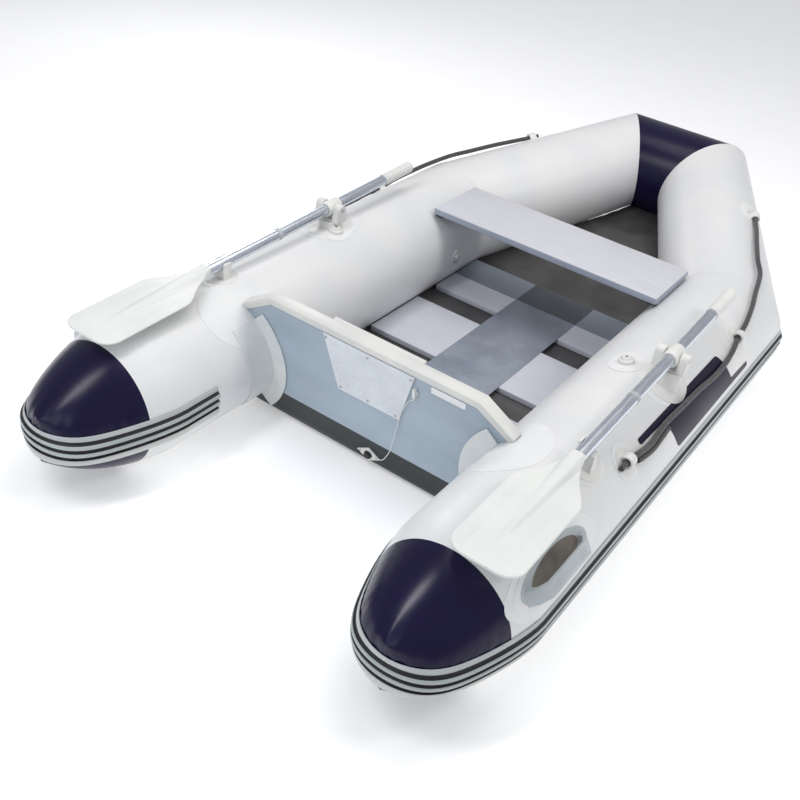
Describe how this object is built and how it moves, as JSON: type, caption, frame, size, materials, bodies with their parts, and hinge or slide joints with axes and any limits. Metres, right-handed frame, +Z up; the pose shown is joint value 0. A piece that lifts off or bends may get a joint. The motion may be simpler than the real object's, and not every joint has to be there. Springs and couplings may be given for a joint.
{
  "type": "inflatable dinghy",
  "caption": "Small inflatable tender with a raked board transom, slatted floor, lift-out thwart and stowed sectional oars in swivelling rowlocks.",
  "frame": {"origin": "centre of the footprint on the ground, midway between the stern cones' tips and the bow", "axes": "+X to starboard, +Y forward to the bow, +Z up; the tubes rest on Z = 0"},
  "size_m": [1.3454, 2.5448, 0.4731],
  "materials": {
    "white_pvc": "semi-gloss coated fabric",
    "navy_pvc": "gloss coated fabric",
    "grey_pvc": "matt coated fabric",
    "strake": "satin moulding with black grooves",
    "painted_plywood": "satin blue-grey paint",
    "cream_plastic": "satin",
    "slat_plywood": "satin pale grey",
    "strip": "matt slate grey, a padded non-slip strip",
    "thwart_plywood": "satin pale grey",
    "aluminium": "anodised",
    "white_plastic": "satin",
    "grey_plastic": "satin",
    "line": "braided",
    "stainless": "polished"
  },
  "bodies": {
    "hull": {"bailer_lanyard": "white_plastic", "bow_tube": "navy_pvc", "drain_flange": "white_plastic", "floor_centre_strip": "strip", "floor_slat_aft": "slat_plywood", "floor_slat_forward": "slat_plywood", "floor_slat_middle": "slat_plywood", "hull_bottom": "grey_pvc", "inner_motor_pad": "cream_plastic", "lanyard_cleat": "white_plastic", "outer_motor_pad": "cream_plastic", "port_aft_rope_eye": "white_plastic", "port_carry_handle": "grey_plastic", "port_forward_rope_eye": "white_plastic", "port_grab_line": "line", "port_middle_rope_eye": "white_plastic", "port_oar_clip": "white_plastic", "port_ring_tab": "white_pvc", "port_rowlock_base": "white_plastic", "port_rub_strake": "strake", "port_side_tube": "white_pvc", "port_stern_cone": "navy_pvc", "port_transom_holder": "white_pvc", "port_valve_seat": "white_plastic", "starboard_aft_rope_eye": "white_plastic", "starboard_carry_handle": "grey_plastic", "starboard_forward_rope_eye": "white_plastic", "starboard_grab_line": "line", "starboard_middle_rope_eye": "white_plastic", "starboard_oar_clip": "white_plastic", "starboard_ring_tab": "white_pvc", "starboard_rowlock_base": "white_plastic", "starboard_rub_strake": "strake", "starboard_side_tube": "white_pvc", "starboard_stern_cone": "navy_pvc", "starboard_transom_holder": "white_pvc", "starboard_valve_seat": "white_plastic", "transom_board": "painted_plywood", "transom_top_trim": "cream_plastic"},
    "thwart": {"thwart": "thwart_plywood"},
    "drain_plug": {"drain_plug": "white_plastic"},
    "port_rowlock": {"port_rowlock_fork": "white_plastic"},
    "port_oar": {"port_oar_blade": "white_plastic", "port_oar_lower_shaft": "aluminium", "port_oar_upper_shaft": "aluminium", "port_oar_grip": "white_plastic", "port_oar_collar": "white_plastic"},
    "port_snap_button": {"port_snap_button": "stainless"},
    "port_valve_cap": {"port_valve_cap": "grey_plastic"},
    "port_d_ring": {"port_d_ring": "stainless"},
    "starboard_rowlock": {"starboard_rowlock_fork": "white_plastic"},
    "starboard_oar": {"starboard_oar_blade": "white_plastic", "starboard_oar_lower_shaft": "aluminium", "starboard_oar_upper_shaft": "aluminium", "starboard_oar_grip": "white_plastic", "starboard_oar_collar": "white_plastic"},
    "starboard_snap_button": {"starboard_snap_button": "stainless"},
    "starboard_valve_cap": {"starboard_valve_cap": "grey_plastic"},
    "starboard_d_ring": {"starboard_d_ring": "stainless"}
  },
  "joints": [
    {"name": "thwart_lift", "type": "slide", "parent": "hull", "child": "thwart", "axis": [0, 0, 1], "range_m": [0, 0.15]},
    {"name": "drain_plug_pull", "type": "slide", "parent": "hull", "child": "drain_plug", "axis": [0, -0.9868, -0.1616], "range_m": [0, 0.03]},
    {"name": "port_rowlock_swivel", "type": "hinge", "parent": "hull", "child": "port_rowlock", "pos_m": [-0.505, -0.21444, 0.4065], "axis": [0, 0, -1], "range_deg": [0, 150]},
    {"name": "port_oar_tilt", "type": "hinge", "parent": "port_rowlock", "child": "port_oar", "pos_m": [-0.505, -0.21444, 0.4065], "axis": [-1, 0, 0], "range_deg": [0, 7]},
    {"name": "port_button_press", "type": "slide", "parent": "port_oar", "child": "port_snap_button", "axis": [-1, 0, 0], "range_m": [0, 0.003], "stiffness_N_per_m": 400, "springref_m": -0.001},
    {"name": "port_valve_cap_turn", "type": "hinge", "parent": "hull", "child": "port_valve_cap", "pos_m": [-0.30786, -0.54944, 0.20086], "axis": [0.9897, 0, 0.1429], "range_deg": [0, 90]},
    {"name": "port_ring_swing", "type": "hinge", "parent": "hull", "child": "port_d_ring", "pos_m": [-0.30673, 0.21156, 0.17191], "axis": [0, -1, 0], "range_deg": [0, 100]},
    {"name": "starboard_rowlock_swivel", "type": "hinge", "parent": "hull", "child": "starboard_rowlock", "pos_m": [0.555, -0.21444, 0.4065], "axis": [0, 0, 1], "range_deg": [0, 150]},
    {"name": "starboard_oar_tilt", "type": "hinge", "parent": "starboard_rowlock", "child": "starboard_oar", "pos_m": [0.555, -0.21444, 0.4065], "axis": [-1, 0, 0], "range_deg": [0, 7]},
    {"name": "starboard_button_press", "type": "slide", "parent": "starboard_oar", "child": "starboard_snap_button", "axis": [1, 0, 0], "range_m": [0, 0.003], "stiffness_N_per_m": 400, "springref_m": -0.001},
    {"name": "starboard_valve_cap_turn", "type": "hinge", "parent": "hull", "child": "starboard_valve_cap", "pos_m": [0.30786, -0.54944, 0.20086], "axis": [-0.9897, 0, 0.1429], "range_deg": [0, 90]},
    {"name": "starboard_ring_swing", "type": "hinge", "parent": "hull", "child": "starboard_d_ring", "pos_m": [0.30673, 0.21156, 0.17191], "axis": [0, 1, 0], "range_deg": [0, 100]}
  ]
}
